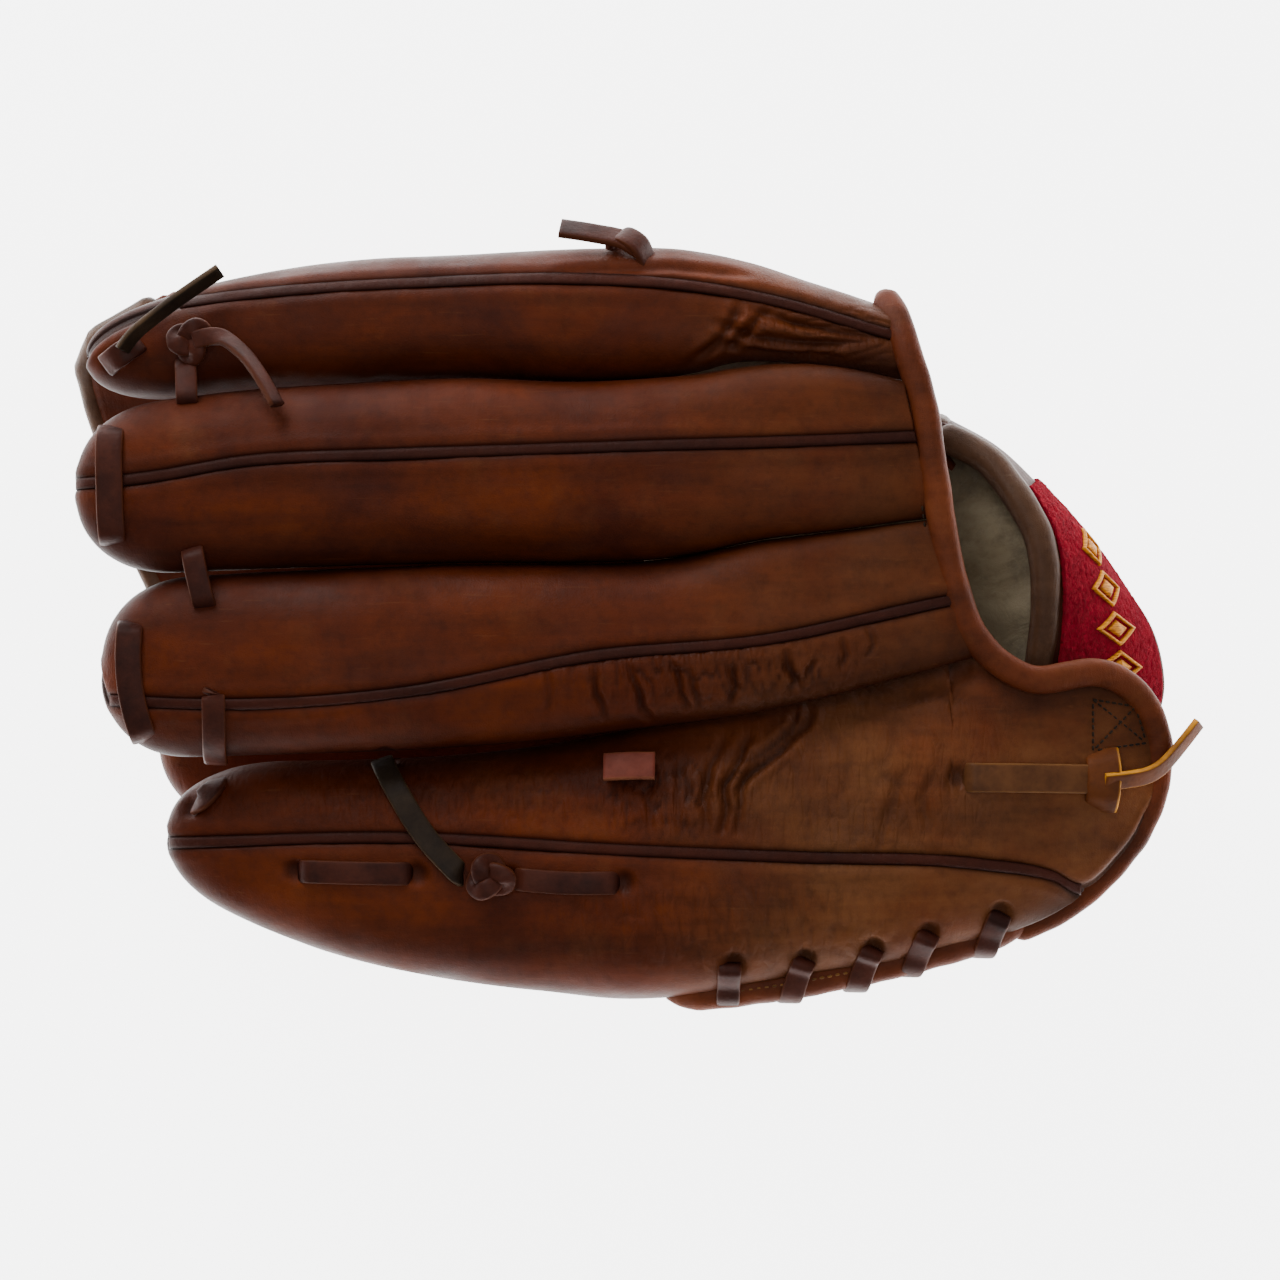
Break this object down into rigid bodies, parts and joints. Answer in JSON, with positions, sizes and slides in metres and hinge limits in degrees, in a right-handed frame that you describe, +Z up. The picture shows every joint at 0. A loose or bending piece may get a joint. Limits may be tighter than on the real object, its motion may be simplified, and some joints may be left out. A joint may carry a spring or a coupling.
{
  "type": "baseball glove",
  "caption": "Brown leather fielder's glove for the left hand, folded shut and lying palm down: laced finger stalls, web and thumb underneath, rolled wrist binding.",
  "frame": {"origin": "on the surface that the glove lies on, under the middle of its box", "axes": "+X from the fingertips to the wrist, +Y from the little finger to the index finger, +Z up, out of the back of the hand"},
  "size_m": [0.3073, 0.2153, 0.0943],
  "materials": {
    "shell_leather": "oiled, worn brown steerhide",
    "binding_leather": "thin rolled leather",
    "welt_leather": "dark, flattened seam strip",
    "rawhide_lace": "dark rawhide with tan cut edges",
    "lining_suede": "grey-beige brushed suede",
    "patch_felt": "crimson felt",
    "embroidery_thread": "yellow satin stitch",
    "padding_felt": "wool felt",
    "stiffener_plastic": "plain sheet"
  },
  "bodies": {
    "hand": {"fingertip_lace": "rawhide_lace", "heel_flap_lower": "shell_leather", "heel_flap_upper": "shell_leather", "heel_lace": "rawhide_lace", "heel_welt": "welt_leather", "index_back_pinky_side": "shell_leather", "index_back_thumb_side": "shell_leather", "index_front": "shell_leather", "index_knots": "rawhide_lace", "index_lining": "lining_suede", "index_tail_curved": "rawhide_lace", "index_tail_long": "rawhide_lace", "index_welt": "welt_leather", "middle_back_pinky_side": "shell_leather", "middle_back_thumb_side": "shell_leather", "middle_front": "shell_leather", "middle_lining": "lining_suede", "middle_welt": "welt_leather", "palm_lining": "lining_suede", "palm_pad": "padding_felt", "palm_shell": "shell_leather", "patch_embroidery": "embroidery_thread", "ring_back_pinky_side": "shell_leather", "ring_back_thumb_side": "shell_leather", "ring_front": "shell_leather", "ring_lining": "lining_suede", "ring_welt": "welt_leather", "strap_binding": "binding_leather", "strap_lining": "lining_suede", "web_lace_end": "rawhide_lace", "wrist_binding": "binding_leather", "wrist_lace": "rawhide_lace", "wrist_patch": "patch_felt", "wrist_strap": "shell_leather", "wrist_tail": "rawhide_lace"},
    "pinky": {"crotch_lace": "rawhide_lace", "pinky_back_outer_side": "shell_leather", "pinky_back_ring_side": "shell_leather", "pinky_cross_lace": "rawhide_lace", "pinky_edge_lace": "rawhide_lace", "pinky_front": "shell_leather", "pinky_lining": "lining_suede", "pinky_loop_lace": "rawhide_lace", "pinky_stiffener": "stiffener_plastic", "pinky_tip_lace": "rawhide_lace", "pinky_welt": "welt_leather"},
    "thumb": {"thumb_back_inner_side": "shell_leather", "thumb_back_outer_side": "shell_leather", "thumb_lining": "lining_suede", "thumb_palm_pad": "padding_felt", "thumb_palm_shell": "shell_leather", "thumb_palm_side": "shell_leather", "thumb_side_back": "shell_leather", "thumb_stiffener": "stiffener_plastic", "thumb_welt": "welt_leather", "web_back": "shell_leather", "web_binding": "binding_leather", "web_front": "shell_leather", "web_lace": "rawhide_lace"}
  },
  "joints": [
    {"name": "thumb_fold", "type": "hinge", "parent": "hand", "child": "thumb", "pos_m": [0, 0.091, 0.0435], "axis": [1, 0, 0], "range_deg": [0, 65]},
    {"name": "pinky_flex", "type": "hinge", "parent": "hand", "child": "pinky", "pos_m": [0.018, -0.062, 0.061], "axis": [-0.085, 0.9964, 0], "range_deg": [-4, 10]}
  ]
}
